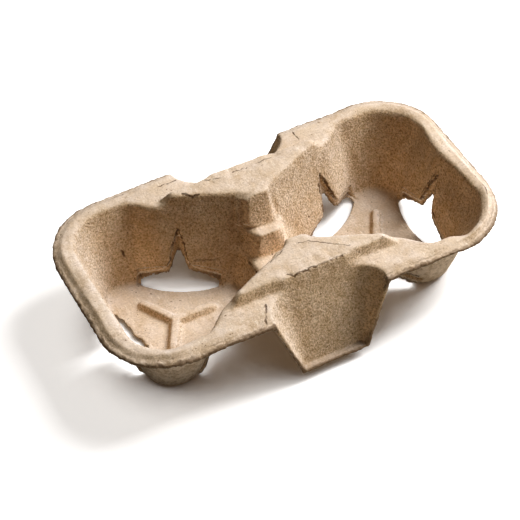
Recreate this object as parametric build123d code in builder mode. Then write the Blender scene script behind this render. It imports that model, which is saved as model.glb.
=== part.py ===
"""Two-cup carrier of moulded pulp, in millimetres.

The origin is on the ground under the middle of the carrier. X runs along it and +Z is up.
The upper face carries the sizes, and the wall is laid below it.
"""

from math import atan2, cos, degrees, hypot, radians, sin
import os

from build123d import *

# Overall sizes
carrier_length = 215.0
carrier_width = 115.4
corner_radius = 33.4
wall = 2.0

# Length and width that the plan sizes below are drawn for, which stretch with the carrier's own
drawn_length = 215.0
drawn_width = 115.4

# Rim, which slopes down in a band along its outer edge
rim_height = 46.0
rim_band = 4.8
rim_drop = 2.3

# Raised ridge across the middle, with ends that run out into the rim
ridge_rise = 6.0
ridge_edge_y = 38.3
ridge_foot_y = 41.2
ridge_top_length = 74.0
ridge_foot_length = 95.0
ridge_root = 6.0

# Cup wells, and half the partition between them at its foot, its bend and its top
well_x = 57.7
foot_fillet = 3.0
lip_fillet = 2.5
bend_height = 26.0
partition_foot = 18.5
partition_bend = 9.6
partition_top = 7.6

# Stepped saddle between the wells, with a round-nosed pier on each side of it
saddle_height = 19.0
saddle_foot_y = 4.0
saddle_riser_y = 6.5
step_height = 32.5
step_outer_y = 12.0
pier_top_y = 18.0
pier_nose_radius = 4.0
pier_nose_inset = 3.0

# Finger grip scooped out of each long side
grip_lip_height = 7.0
grip_lip_y = 62.0
grip_lip_width = 34.0
grip_floor_y = 58.5
grip_floor_radius = 3.0
grip_top_width = 70.4
grip_top_radius = 20.0
grip_trim_width = 76.0

# Three-armed rib on each well floor, with sloping sides and a groove beneath it
arm_count = 3
rib_length = 19.8
rib_foot_width = 6.8
rib_top_width = 3.2
rib_height = 2.4

# Tent-shaped slots through the foot of each well
slot_half_length = 20.0
slot_floor_reach = 20.7
slot_floor_end_reach = 25.0
slot_end_height = 4.5
slot_shoulder_half = 5.2
slot_shoulder_height = 8.8
slit_foot_half = 3.8
slit_foot_height = 11.8
slit_waist_half = 2.6
slit_waist_height = 16.5
slit_tip_half = 0.8
slit_tip_height = 20.5
slot_reach = 45.0

# Tent-shaped pleat pressed outwards round each slot
pleat_depth = 1.0
pleat_half_length = 22.0
pleat_foot_height = 5.2
pleat_end_height = 6.4
pleat_shoulder_half = 7.6
pleat_shoulder_height = 11.4
pleat_waist_half = 4.8
pleat_waist_height = 14.6
pleat_neck_half = 3.0
pleat_neck_height = 21.5
pleat_tip_half = 0.6
pleat_tip_height = 29.5

# Room left round the work while it is cut
base_depth = 6.0
overhang = 12.0
headroom = 4.0
touching = 0.05

# Places and shares that follow from the sizes above
along = carrier_length / drawn_length
across = carrier_width / drawn_width
tight = min(along, across)
half_width = carrier_width / 2
outline_radius = tight * corner_radius
well_centre_x = along * well_x
ridge_height = rim_height + ridge_rise
ridge_edge = across * ridge_edge_y
ridge_foot = across * ridge_foot_y
grip_lip = across * grip_lip_y
grip_floor = across * grip_floor_y
cut_height = ridge_height + headroom

# Each side of a well's outline is a normal angle and a distance, from the one that follows the
# partition round to the far end, and each radius is that of the corner before a side
floor_sides = [(66.0, 23.5), (48.0, 20.9), (90.0, 35.6), (135.0, 38.3), (180.0, 25.95)]
floor_radii = [9.0, 12.0, 11.0, 11.0, 11.5]
rim_sides = [(66.0, 39.8), (48.0, 36.0), (90.0, 50.2), (135.0, 54.0), (180.0, 40.0)]
rim_radii = [4.6, 15.6, 10.1, 21.2, 21.2]


def sideways(depth, run, rise):
    """How far a slope moves sideways where its face is laid deeper and its heights drop too."""
    return depth * (hypot(run, rise) - run) / rise


def between(low, high, share):
    """The value that lies the given share of the way from low to high."""
    return low + share * (high - low)


def stretched(side):
    """A side, as a normal angle and a distance, once its plan is stretched with the carrier."""
    angle, reach = side
    x, y = cos(radians(angle)) / along, sin(radians(angle)) / across
    return degrees(atan2(y, x)), reach / hypot(x, y)


def corner(side, following):
    """The point where two sides, each a normal angle and a distance, meet."""
    (angle, reach), (next_angle, next_reach) = side, following
    a, b = radians(angle), radians(next_angle)
    turn = sin(b - a)
    x = (reach * sin(b) - next_reach * sin(a)) / turn
    y = (next_reach * cos(a) - reach * cos(b)) / turn
    return x, y


def partition_half(height):
    """Half the thickness of the partition between the wells at a height."""
    if height <= bend_height:
        share = (height - wall) / (bend_height - wall)
        return along * between(partition_foot, partition_bend, share)
    share = (height - bend_height) / (ridge_height - bend_height)
    return along * between(partition_bend, partition_top, share)


def well_section(height, growth):
    """A well's outline at a height, symmetric about X and grown outwards by the given amount."""
    share = (height - wall) / (ridge_height - wall)
    half = [(0.0, well_centre_x - partition_half(height))]
    for (angle, low), (_, high) in zip(floor_sides, rim_sides):
        half.append(stretched((angle, between(low, high, share))))
    grown = [(angle, reach + growth) for angle, reach in half]
    sides = grown + [(360 - angle, reach) for angle, reach in grown[-2:0:-1]]
    points = [corner(a, b) for a, b in zip(sides, sides[1:] + sides[:1])]
    radii = [tight * between(low, high, share) for low, high in zip(floor_radii, rim_radii)]
    for i in range(len(radii)):
        radii[i] += growth if grown[i + 1][0] > grown[i][0] else -growth
    FilletPolyline(*points, radius=radii + radii[::-1], close=True)


def well_hollow(depth):
    """The room in one well, steeper above its bend on the side that faces the middle."""
    run = along * (rim_sides[-1][1] - floor_sides[-1][1])
    growth = sideways(depth, run, ridge_height - wall)
    stages = []
    for low, high in ((wall, bend_height), (bend_height, cut_height)):
        with BuildPart() as stage:
            for height in (low, high):
                with BuildSketch(Plane.XY.offset(height - depth)):
                    with BuildLine():
                        well_section(height, growth)
                    make_face()
            loft()
        stages.append(stage.part)
    lower, upper = stages
    foot = [edge for edge in lower.edges() if abs(edge.center().Z - (wall - depth)) < touching]
    with BuildPart() as hollow:
        add(lower.fillet(foot_fillet + depth, foot))
        add(upper)
    return hollow.part


def ridge_bar(depth):
    """The raised ridge across the middle, with sloping sides and ends that run out."""
    slope = (ridge_foot - ridge_edge) / ridge_rise
    growth = sideways(depth, ridge_foot - ridge_edge, ridge_rise)
    top, foot = ridge_height - depth, rim_height - depth
    top_x, foot_x = along * ridge_top_length / 2, along * ridge_foot_length / 2
    level = (1, 0)
    with BuildPart() as ridge:
        with BuildSketch(Plane.XZ):
            with BuildLine():
                Line((-top_x, top), (top_x, top))
                Spline((top_x, top), (foot_x, foot), tangents=(level, level))
                root = foot - ridge_root
                Polyline((foot_x, foot), (foot_x, root), (-foot_x, root), (-foot_x, foot))
                Spline((-foot_x, foot), (-top_x, top), tangents=(level, level))
            make_face()
        extrude(amount=half_width, both=True)
        with BuildSketch(Plane.YZ):
            with BuildLine():
                low = (ridge_foot - growth + slope * headroom, foot - headroom)
                high = (ridge_edge - growth - slope * headroom, top + headroom)
                Polyline(low, high, (-high[0], high[1]), (-low[0], low[1]), close=True)
            make_face()
        extrude(amount=carrier_length, both=True, mode=Mode.INTERSECT)
    return ridge.part


def saddle_pocket(depth):
    """The stepped room across the partition, which leaves the round-nosed piers."""
    lower = ((saddle_height, saddle_foot_y), (step_height, saddle_riser_y))
    upper = ((step_height, step_outer_y), (cut_height, pier_top_y))
    with BuildPart() as pocket:
        for (low, low_y), (high, high_y) in (lower, upper):
            growth = sideways(depth, across * (high_y - low_y), high - low)
            for height, half_y in ((low, low_y), (high, high_y)):
                nose = pier_nose_radius - growth
                x = partition_half(height) - pier_nose_inset
                y = across * half_y + growth
                with BuildSketch(Plane.XY.offset(height - depth)):
                    with BuildLine():
                        Line((-x, y), (x, y))
                        RadiusArc((x, y), (x + nose, y + nose), nose)
                        Line((x + nose, y + nose), (x + nose, -y - nose))
                        RadiusArc((x, -y), (x + nose, -y - nose), -nose)
                        Line((-x, -y), (x, -y))
                        RadiusArc((-x, -y), (-x - nose, -y - nose), nose)
                        Line((-x - nose, y + nose), (-x - nose, -y - nose))
                        RadiusArc((-x, y), (-x - nose, y + nose), -nose)
                    make_face()
            loft()
    return pocket.part


def grip_scoop(depth):
    """The room in one finger grip, on the side that faces +Y."""
    rise = cut_height - grip_lip_height
    growth = sideways(depth, grip_floor - ridge_edge, rise)
    bottom = (along * grip_lip_width / 2, grip_floor, grip_floor_radius)
    top = (along * grip_top_width / 2, ridge_edge, tight * grip_top_radius)
    reach = grip_lip + overhang
    with BuildPart() as scoop:
        for height, (side, back, radius) in ((grip_lip_height, bottom), (cut_height, top)):
            with BuildSketch(Plane.XY.offset(height - depth)):
                with BuildLine():
                    x = side + growth
                    y = back - growth
                    FilletPolyline((-x, reach), (-x, y), (x, y), (x, reach), radius=radius + growth)
                    Line((x, reach), (-x, reach))
                make_face()
        loft()
    return scoop.part


def pulp_block(depth, lip_radius):
    """The solid below the surface that lies the given depth under the upper face."""
    margin = 2 * (overhang - wall + depth)
    edge_height = rim_height - rim_drop - depth
    top = rim_height - depth
    band = 2 * rim_band
    hollow = well_hollow(depth)
    wells = [hollow.moved(centre) for centre in well_centres]
    with BuildPart() as block:
        with BuildSketch(Plane.XY.offset(-base_depth - depth)):
            RectangleRounded(carrier_length + margin, carrier_width + margin, outline_radius)
        extrude(amount=edge_height + base_depth + depth)
        with BuildSketch(Plane.XY.offset(edge_height)):
            RectangleRounded(carrier_length, carrier_width, outline_radius)
        with BuildSketch(Plane.XY.offset(top)):
            RectangleRounded(carrier_length - band, carrier_width - band, outline_radius - rim_band)
        loft()
        add(ridge_bar(depth))
        add(wells, mode=Mode.SUBTRACT)
        if lip_radius:
            upper = [edge for edge in block.edges() if edge.bounding_box().min.Z > top - touching]
            lips = [edge for edge in upper if any(runs_along(edge, well) for well in wells)]
            fillet(lips, lip_radius)
        for angle, _ in slot_sides:
            room = pleat_room(hollow, angle, depth)
            add([room.moved(centre) for centre in well_centres], mode=Mode.SUBTRACT)
        add(saddle_pocket(depth), mode=Mode.SUBTRACT)
        for turn in (0, 180):
            add(grip_scoop(depth).rotate(Axis.Z, turn), mode=Mode.SUBTRACT)
    return block.part


def runs_along(edge, solid):
    """Whether an edge lies on a solid's surface at its ends and its middle."""
    return all(solid.distance_to(edge @ share) < touching for share in (0.0, 0.5, 1.0))


def trim_solid():
    """The room that the finished carrier fits in, with the grip lips let out below the rim."""
    top = rim_height - rim_drop - wall
    slope = (grip_lip - half_width) / (top - grip_lip_height)
    foot_y = grip_lip + slope * grip_lip_height
    with BuildPart() as trim:
        with BuildSketch(Plane.XY):
            RectangleRounded(carrier_length, carrier_width, outline_radius)
        extrude(amount=cut_height)
        with BuildSketch(Plane.YZ):
            with BuildLine():
                Polyline((-foot_y, 0), (foot_y, 0), (half_width, top), (-half_width, top), close=True)
            make_face()
        extrude(amount=along * grip_trim_width / 2, both=True)
    return trim.part


def tent_prism(half, foot):
    """A prism along +X under a tent-shaped outline, given as half widths and their heights."""
    half = [(tight * y, z) for y, z in half]
    low = [(half[0][0], foot), (-half[0][0], foot)]
    with BuildPart() as prism:
        with BuildSketch(Plane.YZ):
            with BuildLine():
                Polyline(*low, *[(-y, z) for y, z in half], *half[::-1], close=True)
            make_face()
        extrude(amount=along * slot_reach)
    return prism.part


def floor_slot(share):
    """The room in one slot, which opens outwards along +X from the well's centre."""
    half = [
        (slot_half_length, slot_end_height),
        (slot_shoulder_half, slot_shoulder_height),
        (slit_foot_half, slit_foot_height),
        (slit_waist_half, slit_waist_height),
        (slit_tip_half, slit_tip_height),
    ]
    end_y, end_x, far_x = tight * slot_half_length, share * slot_floor_end_reach, share * slot_reach
    with BuildPart() as slot:
        with BuildSketch(Plane.XY.offset(-headroom)):
            with BuildLine():
                ThreePointArc((end_x, -end_y), (share * slot_floor_reach, 0), (end_x, end_y))
                Polyline((end_x, end_y), (far_x, end_y), (far_x, -end_y), (end_x, -end_y))
            make_face()
        extrude(amount=cut_height)
        add(tent_prism(half, -headroom), mode=Mode.INTERSECT)
    return slot.part


def pleat_room(hollow, angle, depth):
    """The room in the pleat round the slot at an angle, in a well that stands on the Z axis."""
    half = [
        (pleat_half_length + depth, pleat_end_height),
        (pleat_shoulder_half + depth, pleat_shoulder_height),
        (pleat_waist_half + depth, pleat_waist_height),
        (pleat_neck_half + depth, pleat_neck_height),
        (pleat_tip_half, pleat_tip_height + depth),
    ]
    outwards = Location((pleat_depth * cos(radians(angle)), pleat_depth * sin(radians(angle)), 0))
    with BuildPart() as room:
        add(hollow.moved(outwards))
        add(tent_prism(half, pleat_foot_height).rotate(Axis.Z, angle), mode=Mode.INTERSECT)
    return room.part


def floor_rib(depth):
    """The three-armed rib, or the groove beneath it where it is laid deeper."""
    growth = sideways(depth, (rib_foot_width - rib_top_width) / 2, rib_height)
    levels = ((wall, rib_foot_width), (wall + rib_height, rib_top_width))
    with BuildPart() as arm:
        for height, width in levels:
            with BuildSketch(Plane.XY.offset(height - depth)):
                with Locations((rib_length / 2, 0)):
                    SlotCenterToCenter(rib_length, width - 2 * growth)
        loft()
    with BuildPart() as rib:
        for number in range(arm_count):
            add(arm.part.rotate(Axis.Z, number * 360 / arm_count))
    return rib.part


# Both wells' places, and the direction and stretch of each slot round a well
well_centres = [Location((0, 0, 0), (0, 0, turn)) * Location((-well_centre_x, 0, 0)) for turn in (0, 180)]
slot_sides = [stretched(((number + 0.5) * 360 / arm_count, 1.0)) for number in range(arm_count)]

with BuildPart() as cup_carrier:
    add(pulp_block(0, lip_fillet))
    add(pulp_block(wall, 0), mode=Mode.SUBTRACT)
    add(trim_solid(), mode=Mode.INTERSECT)
    rib = floor_rib(0)
    groove = floor_rib(wall)
    slots = [floor_slot(share).rotate(Axis.Z, angle) for angle, share in slot_sides]
    for centre in well_centres:
        add(rib.moved(centre))
        add(groove.moved(centre), mode=Mode.SUBTRACT)
        for slot in slots:
            add(slot.moved(centre), mode=Mode.SUBTRACT)

cup_carrier.part.label = "cup_carrier"
os.makedirs("parts", exist_ok=True)
export_step(cup_carrier.part, "parts/cup_carrier.step")
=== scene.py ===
"""Dresses the two-cup carrier of moulded pulp: its felted skin, pleats, deckled edges, light and camera."""

import math

import bpy
import numpy as np
from mathutils import Matrix, Vector


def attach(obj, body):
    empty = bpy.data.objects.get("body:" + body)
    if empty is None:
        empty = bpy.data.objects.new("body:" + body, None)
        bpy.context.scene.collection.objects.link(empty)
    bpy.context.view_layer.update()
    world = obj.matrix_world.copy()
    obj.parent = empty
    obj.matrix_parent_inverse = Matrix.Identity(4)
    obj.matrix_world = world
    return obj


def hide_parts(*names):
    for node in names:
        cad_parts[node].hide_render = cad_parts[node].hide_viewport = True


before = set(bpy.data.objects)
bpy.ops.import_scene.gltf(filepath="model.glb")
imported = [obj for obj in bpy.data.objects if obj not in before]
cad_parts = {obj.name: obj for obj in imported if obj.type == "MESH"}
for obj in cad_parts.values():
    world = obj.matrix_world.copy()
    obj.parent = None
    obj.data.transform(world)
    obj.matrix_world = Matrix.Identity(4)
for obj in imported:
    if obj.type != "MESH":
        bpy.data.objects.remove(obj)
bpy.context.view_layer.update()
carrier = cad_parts["cup_carrier"]

MM = 0.001

# Steps of a vertex group's weights, and the least push that counts, in millimetres
WEIGHT_LEVELS = 20
LEAST_PUSH = 0.01

# Fineness of the felted body: its voxels in millimetres, and the share of triangles kept at the end
VOXEL = 0.6
KEPT_TRIANGLES = 0.28

# Sizes of the moulding in millimetres, as the solid has them
WELL_X = 57.7
HALF_LENGTH = 107.5
HALF_WIDTH = 57.7
CORNER_RADIUS = 33.4
RIDGE_HEIGHT = 52.0
TREAD_HEIGHTS = (32.5, 19.0)

# How far from a well's middle its floor ends at a slot, and its wall at the rim, in millimetres
FLOOR_REACH = 22.0
WALL_REACH = 41.0

# The grips, in millimetres: each widens upwards from its foot, and its hollow falls outwards
GRIP_FOOT_HALF_WIDTH = 17.0
GRIP_FOOT_HEIGHT = 7.0
GRIP_SPREAD = 18.2
GRIP_RISE = 39.0
HOLLOW_START = 38.3
HOLLOW_HEIGHT = 56.0
HOLLOW_DROP = 49.0
HOLLOW_RUN = 20.2

# Outlines of a pleat and of the slot in it, as distances along the wall and heights
PLEAT = ((21.5, 9.4), (9.0, 13.0), (6.0, 13.2), (4.3, 17.0), (2.7, 26.0), (0.2, 33.5))
OPENING = ((20.0, 4.5), (5.2, 8.8), (3.8, 11.8), (2.6, 16.5), (0.4, 20.8))

# The slots, as the side of their well and their turn round it in degrees
LEFT_END_SLOT = (-1, 180.0)
SLOTS = (LEFT_END_SLOT, (-1, 60.0), (-1, -60.0), (1, 0.0), (1, 120.0), (1, -120.0))

# How much wider the right well's mouth is at places across its end, in millimetres
WIDER_MOUTH = ((-46, 0), (-38, 2.2), (-31, 3.2), (-18, 2.6), (-7, 1.8),
               (5, 0), (14, 0.4), (25, 2.3), (34, 1.5), (42, 0))

# Distances of the rim's crest, groove and line of painted groove shade from its outer edge, in millimetres
CREST_INSET = 5.2
GROOVE_INSET = 2.8
GROOVE_SHADE_INSET = 2.6

# Creases and small tears, as a width and a line of places, all in millimetres
CREASES = (
    (0.35, (-41.1, 50.0, 46.0), (-30.9, 50.1, 46.0)),
    (0.6, (37.0, 52.8, 46.0), (37.2, 46.7, 46.0)),
    (0.8, (-34.4, 34.3, 51.9), (-31.1, 31.2, 50.7), (-27.3, 30.6, 51.6)),
    (0.4, (-0.4, -22.3, 52.0), (6.6, -24.6, 52.0), (21.3, -36.0, 52.0)),
    (0.75, (-14.0, -37.6, 52.0), (-11.5, -39.9, 51.8), (0.5, -39.6, 51.6)),
    (0.6, (0.5, -39.6, 51.6), (16.4, -39.4, 51.4)),
    (0.45, (-17.7, -26.9, 51.9), (-9.1, -23.1, 51.9)),
    (0.35, (-22.1, 37.8, 52.0), (-12.4, 34.8, 52.0)),
    (0.35, (-6.1, 36.2, 52.0), (2.5, 36.0, 52.0)),
    (0.35, (7.5, 36.1, 52.0), (17.8, 36.2, 52.0)),
    (0.8, (-67.7, 41.1, 20.8), (-65.7, 39.2, 15.5)),
    (0.8, (-29.8, -45.7, 46.0), (-35.3, -56.1, 44.8)),
    (0.6, (-12.8, 6.3, 17.3), (-12.6, -2.1, 17.8)),
    (0.7, (92.7, 1.9, 34.0), (87.8, 5.8, 16.7)),
    (0.6, (-36.9, 21.6, 16.3), (-26.3, 16.8, 16.1)),
    (1.5, (38.9, 27.0, 29.0), (39.6, 24.2, 20.2), (38.5, 21.5, 14.2)),
    (0.6, (87.8, -4.8, 16.7), (86.1, -14.6, 10.8)),
)
CREASE_HEIGHT_SHARE = 0.5

# Colours of the pulp
DARK_TAN = (0.585, 0.438, 0.30)
LIGHT_TAN = (0.676, 0.536, 0.396)
PALE_TAN = (0.80, 0.685, 0.595)
FIBRE = (0.84, 0.72, 0.57)
FLECK = (0.20, 0.12, 0.07)
WRINKLE = (0.33, 0.21, 0.12)
# Painted shade in the folds and creases
PAINTED_FOLD_SHADE = (0.07, 0.026, 0.004)
# Trimmed edges, darker partly as cut fibre and partly as painted shade
RAW_EDGE_AND_SHADE = (0.17, 0.10, 0.052)

# Tints that darken or lighten those colours
GRAIN_HOLLOW = (0.56, 0.45, 0.31)
GRAIN_TOP = (1.24, 1.20, 1.11)
# Painted shade on walls that face away from the key, painted light on those that face it, and painted light
# on those turned furthest from it
PAINTED_SHADE_FROM_KEY = (1.0, 0.93, 0.81)
PAINTED_LIGHT_TO_KEY = (1.05, 1.11, 1.24)
PAINTED_LIGHT_TURNED_FURTHEST = (1.15, 1.14, 1.12)
# Painted light that makes the saddle's risers paler
PAINTED_RISER_LIGHT = (1.22, 1.24, 1.28)
# Scuffs on faces that look down, pale as painted light from the floor below
SCUFF_AND_FLOOR_LIGHT_LOW = (0.68, 0.56, 0.42)
SCUFF_AND_FLOOR_LIGHT_HIGH = (1.2, 1.06, 0.90)

# The studio floor and the key light, in metres and watts
FLOOR_SIZE = 30.0
FLOOR_DEPTH = 0.5 * MM
KEY_SPOT = (1.05, 0.06, 1.20)
KEY_WIDTH = 0.6
KEY_HEIGHT = 0.95
KEY_WATTS = 41.5
LIGHT_AIM = (0, 0, 0.02)

# The camera at the photograph's viewing angle, with its target and distance in millimetres
AZIMUTH = math.radians(-26.25)
ELEVATION = math.radians(47.64)
ROLL = math.radians(-1.71)
TARGET = (-8.43, 2.60, 20.0)
DISTANCE = 961.8
SENSOR_WIDTH = 36.0
FOCAL_PIXELS = 1909.1
PHOTOGRAPH_PIXELS = 520


def deselect_all():
    """Leaves no object selected and none in edit mode."""
    if bpy.context.object and bpy.context.object.mode != "OBJECT":
        bpy.ops.object.mode_set(mode="OBJECT")
    bpy.ops.object.select_all(action="DESELECT")


def make_active(piece):
    """Selects one piece and makes it the one that operators work on."""
    deselect_all()
    piece.select_set(True)
    bpy.context.view_layer.objects.active = piece


def finish_with(piece, kind, **settings):
    """Adds a modifier with its settings and applies it."""
    make_active(piece)
    step = piece.modifiers.new(kind.title(), kind)
    for name, value in settings.items():
        setattr(step, name, value)
    bpy.ops.object.modifier_apply(modifier=step.name)


def cloud_pattern(name, size, depth):
    """A soft noise that a displace modifier can push a surface with, its size in millimetres."""
    pattern = bpy.data.textures.new(name, "CLOUDS")
    pattern.noise_scale = size * MM
    pattern.noise_depth = depth
    return pattern


def merged_copy(node, name):
    """A copy of a CAD node's mesh with its loose triangles joined up."""
    piece = bpy.data.objects.new(name, node.data.copy())
    bpy.context.scene.collection.objects.link(piece)
    make_active(piece)
    bpy.ops.object.mode_set(mode="EDIT")
    bpy.ops.mesh.select_all(action="SELECT")
    bpy.ops.mesh.remove_doubles(threshold=0.01 * MM)
    bpy.ops.object.mode_set(mode="OBJECT")
    return piece


def spots(piece):
    """The places of a piece's vertices in millimetres, one row for each axis."""
    flat = np.empty(len(piece.data.vertices) * 3)
    piece.data.vertices.foreach_get("co", flat)
    return flat.reshape(-1, 3).T / MM


def facings(piece):
    """The normals of a piece's vertices, one row for each axis."""
    flat = np.empty(len(piece.data.vertices) * 3)
    piece.data.vertices.foreach_get("normal", flat)
    return flat.reshape(-1, 3).T


def ramp(value, start, end):
    """Nought up to start, one from end on, and a smooth step in between."""
    share = np.clip((value - start) / (end - start), 0.0, 1.0)
    return share * share * (3.0 - 2.0 * share)


def fade(value, start, end):
    """One up to start, nought from end on, and a smooth step in between."""
    return 1 - ramp(value, start, end)


def weigh(piece, name, weights):
    """A vertex group with the given weights in even levels."""
    group = piece.vertex_groups.new(name=name)
    levels = np.rint(np.clip(weights, 0.0, 1.0) * WEIGHT_LEVELS).astype(int)
    for level in range(1, WEIGHT_LEVELS + 1):
        chosen = np.nonzero(levels == level)[0]
        if len(chosen):
            group.add(chosen.tolist(), level / WEIGHT_LEVELS, "REPLACE")
    return group.name


def soften(piece, name, weights, rounds):
    """Smooths the weighted part of a piece."""
    group = weigh(piece, name, weights)
    finish_with(piece, "SMOOTH", factor=0.5, iterations=rounds, vertex_group=group)


def shift(piece, name, weights, strength, direction, pattern=None):
    """Moves the weighted part of a piece along an axis or its normal, with noise where one is given."""
    group = weigh(piece, name, weights)
    settings = {"vertex_group": group, "strength": strength * MM, "direction": direction, "mid_level": 0.0}
    if pattern:
        settings.update(texture=pattern, texture_coords="LOCAL", mid_level=0.5)
    finish_with(piece, "DISPLACE", **settings)


def push(piece, name, along_x, along_y):
    """Moves the places of a piece level by the given millimetres along X and along Y."""
    for axis, amounts in (("X", along_x), ("Y", along_y)):
        for sign in (1, -1):
            most = max(LEAST_PUSH, (sign * amounts).max())
            shift(piece, f"{name}_{axis}{sign}", sign * amounts / most, sign * most, axis)


def edge_distance(x, y):
    """How far a place lies inside the rounded outline of the rim."""
    across = np.abs(x) - (HALF_LENGTH - CORNER_RADIUS)
    along = np.abs(y) - (HALF_WIDTH - CORNER_RADIUS)
    beyond = np.hypot(np.maximum(across, 0), np.maximum(along, 0))
    return CORNER_RADIUS - beyond - np.minimum(np.maximum(across, along), 0)


def saddle_share(x, y):
    """One on the saddle between the wells, and nought away from it."""
    return fade(np.abs(x), 15, 22) * fade(np.abs(y), 26, 34)


def slot_places(x, y, side, turn):
    """Distance along and out through a slot of the well on one side, for each place."""
    angle = math.radians(turn)
    dx = x - side * WELL_X
    out = dx * math.cos(angle) + y * math.sin(angle)
    along = -dx * math.sin(angle) + y * math.cos(angle)
    return np.abs(along), out


def outline_height(outline, along):
    """The height of a pleat's or a slot's outline at each distance along the wall."""
    reach, height = zip(*outline[::-1])
    return np.interp(along, reach, height)


def near_slot_top(along, out, z, full, none):
    """One up to a full distance from a slot's upper edge, and nought from another on and past the wall."""
    return fade(np.abs(z - outline_height(OPENING, along)), full, none) * (out < WALL_REACH)


def slot_tops(x, y, z, full, none):
    """One near the upper edges of all slots, and nought away from them."""
    share = np.zeros_like(x)
    for side, turn in SLOTS:
        along, out = slot_places(x, y, side, turn)
        near = near_slot_top(along, out, z, full, none)
        share = np.maximum(share, near * ramp(out, 23, 25) * (along < 21))
    return share


def grip_side(x, y, z, width):
    """One on the trimmed sides of the grips, and nought from a width inside them on."""
    inside = GRIP_FOOT_HALF_WIDTH + (z - GRIP_FOOT_HEIGHT) * GRIP_SPREAD / GRIP_RISE - np.abs(x)
    side = fade(inside, 0.3 * width, width) * (inside > -4)
    return side * ramp(np.abs(y), 42, 45) * fade(z, 41, 44)


def soften_saddle(body):
    """Rounds the piers and the ends of the treads between the wells."""
    x, y, z = spots(body)
    soften(body, "piers", saddle_share(x, y) * ramp(np.abs(y), 5, 9) * ramp(z, 16, 22), 16)
    x, y, z = spots(body)
    treads = sum(fade(np.abs(z - height), 2.5, 4.5) for height in TREAD_HEIGHTS)
    soften(body, "tread_ends", saddle_share(x, y) * ramp(np.abs(x), 4, 8) * treads, 90)


def shape_ridges(body):
    """Runs each ridge's slope on into the hollow of the grip below it, and leaves both round and uneven."""
    x, y, z = spots(body)
    slope = np.minimum(RIDGE_HEIGHT, HOLLOW_HEIGHT - (np.abs(y) - HOLLOW_START) * HOLLOW_DROP / HOLLOW_RUN)
    most = 4.0
    missing = np.clip(slope - z, 0, most) / most
    upper_face = (facings(body)[2] > 0.05) * (np.abs(y) > 37.8) * (np.abs(y) < 44) * (z > 42)
    shift(body, "ridge_slope", missing * fade(np.abs(x), 15, 25) * upper_face, most, "Z")

    x, y, z = spots(body)
    grip_edges = fade(np.abs(x), 34, 40) * ramp(np.abs(y), 35, 38) * ramp(z, 36, 40)
    soften(body, "grip_edges", grip_edges * fade(np.abs(y), 53, 56), 12)
    x, y, z = spots(body)
    ridges = fade(np.abs(x), 54, 62) * ramp(np.abs(y), 14, 20) * ramp(z, 43, 46)
    soften(body, "ridges", ridges * fade(np.abs(y), 44, 47), 10)
    x, y, z = spots(body)
    ridges = fade(np.abs(x), 50, 56) * ramp(np.abs(y), 30, 34) * ramp(z, 44, 47)
    shift(body, "uneven_ridges", ridges * fade(np.abs(y), 41, 44), 1.5, "Z",
          cloud_pattern("ridge_waves", 7, 2))


def press_pleats(body):
    """Presses pleats outwards round every slot, and draws the piers out at one side and rounds the other."""
    x, y, z = spots(body)
    normal_x, normal_y, _ = facings(body)
    push_x = np.zeros_like(x)
    push_y = np.zeros_like(x)
    for side, turn in SLOTS:
        along, out = slot_places(x, y, side, turn)
        inside = ramp(outline_height(PLEAT, along) - z, -0.7, 0.7) * ramp(z, 3.5, 5.0) * (along < 21.5)
        out_x = math.cos(math.radians(turn))
        out_y = math.sin(math.radians(turn))
        inner_skin = normal_x * out_x + normal_y * out_y < 0
        depth = inside * ramp(out, FLOOR_REACH, 24.0) * (out < 45) * np.where(inner_skin, 1.3, 0.2)
        push_x += depth * out_x
        push_y += depth * out_y
    drawn = ramp(z, 33, 36) * fade(z, 49, 52) * fade(np.abs(np.abs(x) - 8), 3, 6)
    drawn = drawn * ramp(np.abs(y), 2, 6) * fade(np.abs(y), 18, 24)
    push_x += 3.2 * drawn * np.sign(x) * (x * y < 0)
    push(body, "pleats_and_piers", push_x, push_y)

    x, y, z = spots(body)
    crests = (x * y > 0) * ramp(np.abs(x), 3, 6) * fade(np.abs(x), 12, 16) * ramp(z, 20, 24)
    soften(body, "lit_crests", crests * ramp(np.abs(y), 2, 5) * fade(np.abs(y), 18, 24), 60)


def shape_mouths(body):
    """Rounds the lips of both ends, and widens the right mouth at its two end corners."""
    x, y, z = spots(body)
    inset = edge_distance(x, y)
    end_lips = ramp(np.abs(x), 66, 76) * ramp(inset, 5.5, 8) * fade(inset, 15, 18) * ramp(z, 33, 37)
    soften(body, "end_lips", end_lips, 80)

    x, y, z = spots(body)
    inset = edge_distance(x, y)
    mouth = ramp(x, 70, 80) * ramp(inset, 3.5, 8) * fade(inset, 17, 25) * ramp(z, 22, 38)
    across, wider = zip(*WIDER_MOUTH)
    near_corner = fade(y, -44, -34) * fade(x, 92, 99)
    push(body, "right_mouth", np.interp(y, across, wider) * mouth, -3.0 * near_corner * mouth)


def raise_ribs(body):
    """Lifts the ribs so that they stand up crisply from the floors."""
    x, y, z = spots(body)
    towards = WELL_X - np.abs(x)
    turn = np.arctan2(y, towards)
    folded = np.mod(turn + math.pi / 3, 2 * math.pi / 3) - math.pi / 3
    reach = np.hypot(y, towards)
    on_rib = fade(np.abs(reach * np.sin(folded)), 1.0, 3.0)
    on_rib = on_rib * fade(reach * np.cos(folded), 18.5, 21.5)
    level = (z < 7) * (facings(body)[2] > 0.2)
    shift(body, "ribs", on_rib * level, 1.0, "Z")


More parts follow.
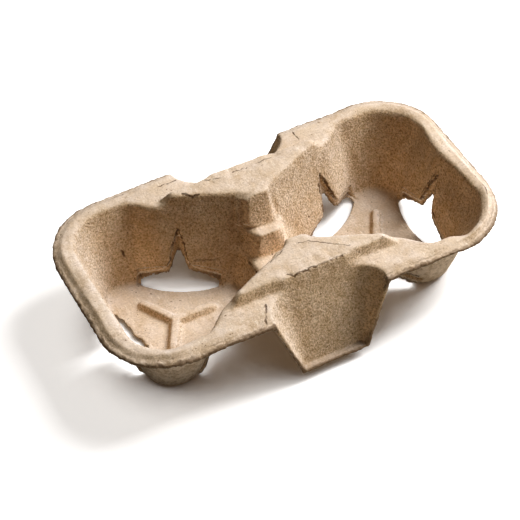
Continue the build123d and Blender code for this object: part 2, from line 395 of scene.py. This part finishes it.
def tear_slots(body, tears):
    """Tears the edges of the slots, and leaves the floor ragged beside the one at the left end."""
    x, y, z = spots(body)
    torn = slot_tops(x, y, z, 1.2, 3.0)
    ends = np.zeros_like(x)
    for side, turn in SLOTS:
        along, out = slot_places(x, y, side, turn)
        near = near_slot_top(along, out, z, 1.2, 3.0)
        ends = np.maximum(ends, ramp(along, 13, 16) * near * ramp(out, FLOOR_REACH, 24) * (along < 22))
    shift(body, "slot_ends", ends, -1.6, "Z")

    x, y, z = spots(body)
    along, out = slot_places(x, y, *LEFT_END_SLOT)
    edge = fade(np.abs(out - FLOOR_REACH), 3.0, 5.0) * fade(along, 18, 20) * fade(z, 3.0, 4.5)
    shift(body, "wide_slot", edge * fade(y, -8, -2), 1.6, "X")
    x, y, z = spots(body)
    along, out = slot_places(x, y, *LEFT_END_SLOT)
    ragged = fade(np.abs(out - FLOOR_REACH), 2.0, 4.0) * fade(along, 16, 19) * fade(z, 3.0, 4.5)
    shift(body, "ragged_floor", ragged, 4.5, "X", cloud_pattern("ragged", 5, 2))
    shift(body, "torn_slots", torn, 3.4, "Z", tears)


def deckle_rim(body):
    """Gives the rim its crest and groove, its uneven outer edge and its slow waves."""
    x, y, z = spots(body)
    inset = edge_distance(x, y)
    rim = ramp(z, 37, 40)
    uneven = ramp(np.abs(x), 62, 84) * (0.65 + 0.35 * np.sin(0.16 * y + 0.9) * np.cos(0.11 * x + 0.4))
    shift(body, "rim_crest", np.exp(-((inset - CREST_INSET) / 1.3) ** 2) * rim * uneven, 0.3, "Z")
    shift(body, "rim_groove", np.exp(-((inset - GROOVE_INSET) / 1.1) ** 2) * rim * uneven, -0.3, "Z")
    shift(body, "deckle", fade(inset, 1.0, 2.4) * rim, 1.1, "NORMAL", cloud_pattern("deckle", 2.2, 3))
    shift(body, "wavy_rim", fade(inset, 5.0, 9.0) * rim, 2.4, "Z", cloud_pattern("rim_waves", 17, 1))


def tear_grips(body, tears):
    """Leaves the trimmed edges of the grips uneven."""
    y = spots(body)[1]
    shift(body, "trimmed_grip", ramp(np.abs(y), 60.6, 61.6), 0.9, "NORMAL", tears)
    x, y, z = spots(body)
    shift(body, "torn_grip_sides", grip_side(x, y, z, 1.6), 1.4, "X", cloud_pattern("grip_tears", 3, 3))


def swell_felt(body):
    """Gives the felt its slow swell and its lumps all over."""
    for name, size, depth, strength in (("slow_swell", 24, 1, 0.9), ("felt_lumps", 4.5, 2, 0.4)):
        finish_with(body, "DISPLACE", texture=cloud_pattern(name, size, depth),
                    texture_coords="LOCAL", strength=strength * MM, mid_level=0.5)


def mark_raw_and_shaded_edges(body):
    """Stores how much each place is a trimmed edge, for the finish, which darkens it partly as cut fibre and
    partly as painted shade.
    """
    x, y, z = spots(body)
    grip_foot = np.abs(x) < GRIP_FOOT_HALF_WIDTH + 1
    raw = fade(edge_distance(x, y), 0.2, 1.1) * ramp(z, 36, 40)
    raw = np.maximum(raw, ramp(np.abs(y), 60.9, 61.6) * grip_foot)
    # The level strip inside the grip's trimmed foot is darkened by a share as well
    raw = np.maximum(raw, 0.4 * ramp(np.abs(y), 58.4, 59.4) * grip_foot)
    raw = np.maximum(raw, grip_side(x, y, z, 1.1))
    raw = np.maximum(raw, slot_tops(x, y, z, 0.7, 1.8))
    raw_and_shaded_edge = body.data.attributes.new("raw_and_shaded_edge", "FLOAT", "POINT")
    raw_and_shaded_edge.data.foreach_set("value", raw.astype(np.float32))


# The felted body, with its edges rounded as wet pulp leaves them
pulp_body = merged_copy(carrier, "pulp_body")
finish_with(pulp_body, "REMESH", mode="VOXEL", voxel_size=VOXEL * MM)
finish_with(pulp_body, "SMOOTH", factor=0.5, iterations=2)
small_tears = cloud_pattern("tears", 2.2, 2)
soften_saddle(pulp_body)
shape_ridges(pulp_body)
press_pleats(pulp_body)
shape_mouths(pulp_body)
raise_ribs(pulp_body)
tear_slots(pulp_body, small_tears)
deckle_rim(pulp_body)
tear_grips(pulp_body, small_tears)
swell_felt(pulp_body)
finish_with(pulp_body, "DECIMATE", ratio=KEPT_TRIANGLES)
pulp_body.vertex_groups.clear()
mark_raw_and_shaded_edges(pulp_body)
make_active(pulp_body)
bpy.ops.object.shade_smooth()


def cleared_tree(owner):
    """Clears the nodes of a material or the world, and returns the function that adds new ones."""
    owner.use_nodes = True
    tree = owner.node_tree
    tree.nodes.clear()

    def make(kind, inputs=None, **settings):
        """Adds a node with its settings, and sets or links its sockets."""
        node = tree.nodes.new(kind)
        for name, value in settings.items():
            setattr(node, name, value)
        for socket, value in (inputs or {}).items():
            if isinstance(value, bpy.types.NodeSocket):
                tree.links.new(value, node.inputs[socket])
            else:
                node.inputs[socket].default_value = value
        return node
    return make


def blend_colours(make, mode, amount, lower, upper):
    """The output of a mix of a colour with another, which may be a plain one."""
    if not isinstance(upper, bpy.types.NodeSocket):
        upper = (*upper, 1)
    return make("ShaderNodeMix", {"Factor": amount, 6: lower, 7: upper},
                data_type="RGBA", blend_type=mode).outputs[2]


def two_tones(make, value, low, low_colour, high, high_colour):
    """The output of a ramp between two colours at two places."""
    tones = make("ShaderNodeValToRGB", {"Fac": value})
    first, last = tones.color_ramp.elements
    first.position, first.color = low, (*low_colour, 1)
    last.position, last.color = high, (*high_colour, 1)
    return tones.outputs["Color"]


def two_shares(make, value, low, low_share, high, high_share):
    """The output of a ramp between two shares at two places."""
    return two_tones(make, value, low, (low_share,) * 3, high, (high_share,) * 3)


def noise(make, place, scale, detail=4.0, roughness=0.6):
    """The output of a noise at so many lumps to the metre."""
    return make("ShaderNodeTexNoise", {
        "Vector": place, "Scale": scale, "Detail": detail, "Roughness": roughness}).outputs["Fac"]


def stretched(make, place, turn, scale):
    """The output of a place turned and scaled, for a noise that is drawn out one way."""
    return make("ShaderNodeMapping", {
        "Vector": place, "Rotation": turn, "Scale": scale}).outputs["Vector"]


def math_step(make, operation, first, second=0.0, third=0.0):
    """The output of one sum."""
    return make("ShaderNodeMath", {0: first, 1: second, 2: third}, operation=operation).outputs[0]


def off_level(make, value, level):
    """The output of how far a value is from a level."""
    return math_step(make, "ABSOLUTE", math_step(make, "SUBTRACT", value, level))


def least(make, values):
    """The output of the least of several values."""
    lowest, *others = values
    for value in others:
        lowest = math_step(make, "MINIMUM", lowest, value)
    return lowest


def nearness(make, distance, full, none):
    """One up to a full distance and nought from another on."""
    return make("ShaderNodeMapRange", {
        "Value": distance, "From Min": none, "From Max": full}, interpolation_type="SMOOTHSTEP").outputs[0]


def axes(make, vector):
    """The outputs X, Y and Z of a vector."""
    return make("ShaderNodeSeparateXYZ", {"Vector": vector}).outputs


def line_distance(make, place, points):
    """The output of the distance from a place to the nearest run of a line of points."""
    gaps = []
    for start, end in zip(points, points[1:]):
        run = Vector(end) - Vector(start)
        from_start = make("ShaderNodeVectorMath", {0: place, 1: start}, operation="SUBTRACT").outputs[0]
        reach = make("ShaderNodeVectorMath", {0: from_start, 1: run / run.length_squared},
                     operation="DOT_PRODUCT").outputs["Value"]
        share = make("ShaderNodeMath", {0: reach, 1: 1.0}, operation="MULTIPLY", use_clamp=True).outputs[0]
        nearby = make("ShaderNodeVectorMath", {0: run, "Scale": share}, operation="SCALE").outputs[0]
        gap = make("ShaderNodeVectorMath", {0: from_start, 1: nearby}, operation="DISTANCE").outputs["Value"]
        gaps.append(gap)
    return least(make, gaps)


def slot_plane(make, place):
    """A place seen square on to the nearest slot, as distances along the wall and out, and a height."""
    parts = axes(make, place)
    across = math_step(make, "SUBTRACT", math_step(make, "ABSOLUTE", parts["X"]), WELL_X)
    turn = math_step(make, "ARCTAN2", parts["Y"], across)
    folded = math_step(make, "WRAP", turn, math.pi / 3, -math.pi / 3)
    flat = make("ShaderNodeCombineXYZ", {"X": across, "Y": parts["Y"]}).outputs[0]
    radius = make("ShaderNodeVectorMath", {0: flat}, operation="LENGTH").outputs["Value"]
    along = math_step(make, "MULTIPLY", radius, math_step(make, "SINE", folded))
    out = math_step(make, "MULTIPLY", radius, math_step(make, "COSINE", folded))
    upright = make("ShaderNodeCombineXYZ", {
        "X": math_step(make, "ABSOLUTE", along), "Z": parts["Z"]}).outputs[0]
    return upright, out


def rim_inset(make, place):
    """How far a place in millimetres lies inside the rounded outline of the rim."""
    parts = axes(make, place)
    over = []
    for axis, half in (("X", HALF_LENGTH), ("Y", HALF_WIDTH)):
        beyond = math_step(make, "SUBTRACT", math_step(make, "ABSOLUTE", parts[axis]), half - CORNER_RADIUS)
        over.append(math_step(make, "MAXIMUM", beyond, 0.0))
    flat = make("ShaderNodeCombineXYZ", {"X": over[0], "Y": over[1]}).outputs[0]
    reach = make("ShaderNodeVectorMath", {0: flat}, operation="LENGTH").outputs["Value"]
    return math_step(make, "SUBTRACT", CORNER_RADIUS, reach)


def felt_colour(make, place, coarse_share):
    """Two tans with paler blotches, grain, fibres and flecks."""
    colour = two_tones(make, noise(make, place, 45.0), 0.32, DARK_TAN, 0.68, LIGHT_TAN)
    blotches = two_shares(make, noise(make, place, 130.0, 5.0, 0.7), 0.40, 0.0, 0.66, 0.5)
    colour = blend_colours(make, "MIX", blotches, colour, PALE_TAN)
    speckle = two_tones(make, noise(make, place, 1000.0, 4.0, 0.65), 0.34, GRAIN_HOLLOW, 0.62, GRAIN_TOP)
    colour = blend_colours(make, "MULTIPLY", coarse_share, colour, speckle)
    strands = stretched(make, place, (0.4, 0.7, 0.9), (1.0, 0.16, 1.0))
    fibres = two_shares(make, noise(make, strands, 1500.0, 3.0, 0.6), 0.60, 0.0, 0.72, 1.0)
    colour = blend_colours(make, "MIX", fibres, colour, FIBRE)
    flecks = two_shares(make, noise(make, place, 620.0, 2.0, 0.5), 0.70, 0.0, 0.74, 1.0)
    return blend_colours(make, "MIX", flecks, colour, FLECK)


def fine_wrinkles(make, place):
    """How much each place is a fine wrinkle, in patches."""
    waves = noise(make, stretched(make, place, (0.0, 0.0, 0.35), (0.4, 1.0, 1.0)), 210.0, 6.0, 0.62)
    lines = nearness(make, off_level(make, waves, 0.5), 0.0, 0.02)
    patches = two_shares(make, noise(make, place, 60.0, 2.0, 0.5), 0.42, 0.0, 0.62, 0.55)
    return math_step(make, "MULTIPLY", lines, patches)


def painted_key_shading(make, normal, colour):
    """The colour with painted shade, browner, on walls that face away from the key, painted light, paler, on
    walls that face it, and painted light on those turned furthest from it.
    """
    towards_key = make("ShaderNodeVectorMath", {0: normal, 1: (0.42, 0.20, 0.0)}, operation="DOT_PRODUCT")
    side = math_step(make, "ADD", towards_key.outputs["Value"], 0.5)
    tint = two_tones(make, side, 0.25, PAINTED_SHADE_FROM_KEY, 0.72, PAINTED_LIGHT_TO_KEY)
    colour = blend_colours(make, "MULTIPLY", 1.0, colour, tint)
    furthest = nearness(make, side, 0.07, 0.14)
    return blend_colours(make, "MULTIPLY", furthest, colour, PAINTED_LIGHT_TURNED_FURTHEST)


def painted_riser_light_share(make, place, facing):
    """How much each place is a riser of the saddle, which gets painted light to make it paler."""
    spans = axes(make, make("ShaderNodeVectorMath", {0: place}, operation="ABSOLUTE").outputs[0])
    saddle = math_step(make, "MULTIPLY", nearness(make, spans["X"], 8 * MM, 12 * MM),
                       nearness(make, spans["Y"], 14 * MM, 18 * MM))
    return math_step(make, "MULTIPLY", saddle, nearness(make, facing, 0.3, 0.7))


def shaken_place(make, place, in_mm):
    """A place in millimetres with a wobble, for lines that aren't ruled."""
    wobble = make("ShaderNodeTexNoise", {"Vector": place, "Scale": 420.0, "Detail": 3.0}).outputs["Color"]
    shake = make("ShaderNodeVectorMath", {0: wobble, 1: (0.5, 0.5, 0.5)}, operation="SUBTRACT").outputs[0]
    return make("ShaderNodeVectorMath", {0: shake, 1: (2.6, 2.6, 2.6), 2: in_mm},
                operation="MULTIPLY_ADD").outputs[0]


def fold_lines(make, place, shaken):
    """How much each place lies on a pleat's outline or a crease, where shade is painted."""
    upright, out = slot_plane(make, shaken)
    on_wall = math_step(make, "MULTIPLY", nearness(make, out, 24.0, 22.5), nearness(make, out, 39.0, 41.0))
    outline = line_distance(make, upright, [(along, 0, height) for along, height in PLEAT])
    pleats = math_step(make, "MULTIPLY", nearness(make, outline, 0.15, 0.75), on_wall)

    # Heights count for less, so that a crease follows the waves of the surface
    lowered = make("ShaderNodeVectorMath", {
        0: shaken, 1: (1.0, 1.0, CREASE_HEIGHT_SHARE)}, operation="MULTIPLY").outputs[0]
    gaps = []
    for width, *points in CREASES:
        line = [(px, py, CREASE_HEIGHT_SHARE * pz) for px, py, pz in points]
        gaps.append(math_step(make, "DIVIDE", line_distance(make, lowered, line), width))
    creases = nearness(make, least(make, gaps), 0.25, 1.0)
    faint = two_shares(make, noise(make, place, 170.0, 3.0, 0.6), 0.34, 0.4, 0.54, 1.0)
    return math_step(make, "MULTIPLY", math_step(make, "MAXIMUM", pleats, creases), faint)


def rim_lines(make, place, shaken, height):
    """How much each place lies on the rim's broken line of painted shade in its groove, or on its frayed
    outer edge, darkened partly as cut fibre and partly as painted shade.
    """
    inset = rim_inset(make, shaken)
    broken = two_shares(make, noise(make, place, 75.0, 3.0, 0.6), 0.42, 0.0, 0.60, 0.6)
    groove_shade_line = nearness(make, off_level(make, inset, GROOVE_SHADE_INSET), 0.1, 0.55)
    groove_shade_line = math_step(make, "MULTIPLY", groove_shade_line, broken)
    frayed = two_shares(make, noise(make, place, 110.0, 3.0, 0.6), 0.38, 0.3, 0.55, 1.0)
    outer_edge = math_step(make, "MULTIPLY", nearness(make, inset, 0.9, 1.8), frayed)
    above = nearness(make, height, 42.0, 39.0)
    return math_step(make, "MULTIPLY", math_step(make, "MAXIMUM", groove_shade_line, outer_edge), above)


def skin_relief(make, place, coarse_share, folds):
    """The normal of the felt with its grain, its lumps and the folds pressed into it."""
    grain = make("ShaderNodeBump", {
        "Height": noise(make, place, 1000.0, 4.0, 0.7), "Strength": coarse_share, "Distance": 0.75 * MM})
    lumps = make("ShaderNodeBump", {
        "Height": noise(make, place, 330.0, 3.0, 0.6), "Strength": 0.5, "Distance": 0.7 * MM,
        "Normal": grain.outputs["Normal"]})
    pressed = make("ShaderNodeBump", {
        "Height": folds, "Strength": 0.7, "Distance": 0.5 * MM,
        "Normal": lumps.outputs["Normal"]}, invert=True)
    return pressed.outputs["Normal"]


def pulp_material():
    """Tan moulded pulp with fibres and flecks, painted shade in its creases, painted shade and light by how
    it faces the key, on its risers and beneath it, and darker raw edges that are partly painted shade.
    """
    material = bpy.data.materials.new("moulded_pulp")
    make = cleared_tree(material)
    place = make("ShaderNodeTexCoord").outputs["Object"]
    in_mm = make("ShaderNodeVectorMath", {0: place, "Scale": 1 / MM}, operation="SCALE").outputs[0]
    normal = make("ShaderNodeNewGeometry").outputs["Normal"]
    facing = axes(make, normal)["Z"]

    # Walls keep the coarse felt, and level faces are pressed smoother
    coarse_share = math_step(make, "MULTIPLY_ADD", nearness(make, facing, 0.45, 1.0), 0.68, 0.32)
    colour = felt_colour(make, place, coarse_share)
    colour = blend_colours(make, "MIX", fine_wrinkles(make, place), colour, WRINKLE)
    # Painted shade and painted light by how each face turns to the key
    colour = painted_key_shading(make, normal, colour)
    # Painted light on the saddle's risers
    colour = blend_colours(make, "MULTIPLY", painted_riser_light_share(make, place, facing), colour, PAINTED_RISER_LIGHT)

    # Faces that look down are scuffed, and made paler as painted light from the floor below
    below = math_step(make, "MULTIPLY", nearness(make, facing, -0.05, 0.0), 0.6)
    scuffs = noise(make, place, 380.0, 5.0, 0.75)
    scuffed_and_lit = two_tones(make, scuffs, 0.42, SCUFF_AND_FLOOR_LIGHT_LOW, 0.56, SCUFF_AND_FLOOR_LIGHT_HIGH)
    colour = blend_colours(make, "MIX", below, colour, scuffed_and_lit)

    # Painted shade along the folds and creases, and darker rim lines and trimmed edges, partly cut fibre and
    # partly painted shade
    shaken = shaken_place(make, place, in_mm)
    folds = fold_lines(make, place, shaken)
    on_rim = rim_lines(make, place, shaken, axes(make, in_mm)["Z"])
    trimmed = make("ShaderNodeAttribute", attribute_name="raw_and_shaded_edge").outputs["Fac"]
    edges = math_step(make, "MAXIMUM", trimmed, on_rim)
    colour = blend_colours(make, "MIX", math_step(make, "MULTIPLY", folds, 0.88), colour, PAINTED_FOLD_SHADE)
    colour = blend_colours(make, "MIX", math_step(make, "MULTIPLY", edges, 0.75), colour, RAW_EDGE_AND_SHADE)

    skin = make("ShaderNodeBsdfPrincipled", {
        "Base Color": colour, "Roughness": 0.8, "Specular IOR Level": 0.12,
        "Normal": skin_relief(make, place, coarse_share, folds)})
    make("ShaderNodeOutputMaterial", {"Surface": skin.outputs["BSDF"]})
    return material


pulp_body.data.materials.clear()
pulp_body.data.materials.append(pulp_material())
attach(pulp_body, "root")
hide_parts("cup_carrier")


# Floor, backdrop and light
def white_stage_material():
    """White to the camera, with soft shadows that a glow darkens and warms as painted shadow where the
    carrier hides the sky, and a warm grey for the light it throws back.
    """
    material = bpy.data.materials.new("white_stage")
    make = cleared_tree(material)
    matt = make("ShaderNodeBsdfDiffuse", {"Color": (0.56, 0.50, 0.42, 1)})
    shade = make("ShaderNodeBsdfDiffuse", {"Color": (0.8, 0.8, 0.8, 1)})
    # For the camera, a glow paints the floor white and paints a dark, warm shadow where the floor is
    # occluded
    open_sky = make("ShaderNodeAmbientOcclusion", {"Distance": 0.1}, samples=12).outputs["AO"]
    glow_with_painted_shadow = two_tones(make, open_sky, 0.36, (0.05, 0.025, 0.01), 0.58, (1.0, 0.965, 0.93))
    glow = make("ShaderNodeEmission", {"Color": glow_with_painted_shadow, "Strength": 0.75})
    seen = make("ShaderNodeLightPath").outputs["Is Camera Ray"]
    both = make("ShaderNodeAddShader", {0: shade.outputs["BSDF"], 1: glow.outputs["Emission"]})
    mixed = make("ShaderNodeMixShader", {0: seen, 1: matt.outputs["BSDF"], 2: both.outputs["Shader"]})
    make("ShaderNodeOutputMaterial", {"Surface": mixed.outputs["Shader"]})
    return material


def white_world():
    """A world that is white to the camera and gives almost no light."""
    world = bpy.data.worlds.new("studio")
    make = cleared_tree(world)
    seen = make("ShaderNodeLightPath").outputs["Is Camera Ray"]
    soft_sky = make("ShaderNodeBackground", {"Color": (1, 1, 1, 1), "Strength": 0.02})
    white_sky = make("ShaderNodeBackground", {"Color": (1, 1, 1, 1), "Strength": 1.0})
    either = make("ShaderNodeMixShader", {
        0: seen, 1: soft_sky.outputs["Background"], 2: white_sky.outputs["Background"]})
    make("ShaderNodeOutputWorld", {"Surface": either.outputs["Shader"]})
    return world


def softbox(name, spot, width, height, watts):
    """A rectangular area light at a spot in metres, aimed at the carrier."""
    lamp = bpy.data.lights.new(name, "AREA")
    lamp.shape = "RECTANGLE"
    lamp.size = width
    lamp.size_y = height
    lamp.energy = watts
    holder = bpy.data.objects.new(name, lamp)
    bpy.context.scene.collection.objects.link(holder)
    holder.location = spot
    aim = Vector(LIGHT_AIM) - Vector(spot)
    holder.rotation_euler = aim.to_track_quat("-Z", "Y").to_euler()


deselect_all()
bpy.ops.mesh.primitive_plane_add(size=FLOOR_SIZE, location=(0, 0, -FLOOR_DEPTH))
floor = bpy.context.object
floor.name = "studio_floor"
floor.data.materials.append(white_stage_material())
bpy.context.scene.world = white_world()
softbox("key_softbox", KEY_SPOT, KEY_WIDTH, KEY_HEIGHT, KEY_WATTS)

# Camera, level first and then rolled
back = Vector((math.sin(AZIMUTH) * math.cos(ELEVATION),
               -math.cos(AZIMUTH) * math.cos(ELEVATION),
               math.sin(ELEVATION)))
level_right = (-back).cross(Vector((0, 0, 1))).normalized()
level_up = level_right.cross(-back)
rolled_right = level_right * math.cos(ROLL) + level_up * math.sin(ROLL)
rolled_up = -level_right * math.sin(ROLL) + level_up * math.cos(ROLL)
camera = bpy.data.objects.new("camera", bpy.data.cameras.new("camera"))
bpy.context.scene.collection.objects.link(camera)
turned = Matrix((rolled_right, rolled_up, back)).transposed().to_4x4()
camera.matrix_world = Matrix.Translation(Vector(TARGET) * MM + back * DISTANCE * MM) @ turned
camera.data.sensor_width = SENSOR_WIDTH
camera.data.lens = FOCAL_PIXELS / PHOTOGRAPH_PIXELS * SENSOR_WIDTH
camera.data.clip_start = 0.05
bpy.context.scene.camera = camera

bpy.context.scene.view_settings.view_transform = "Standard"

deselect_all()
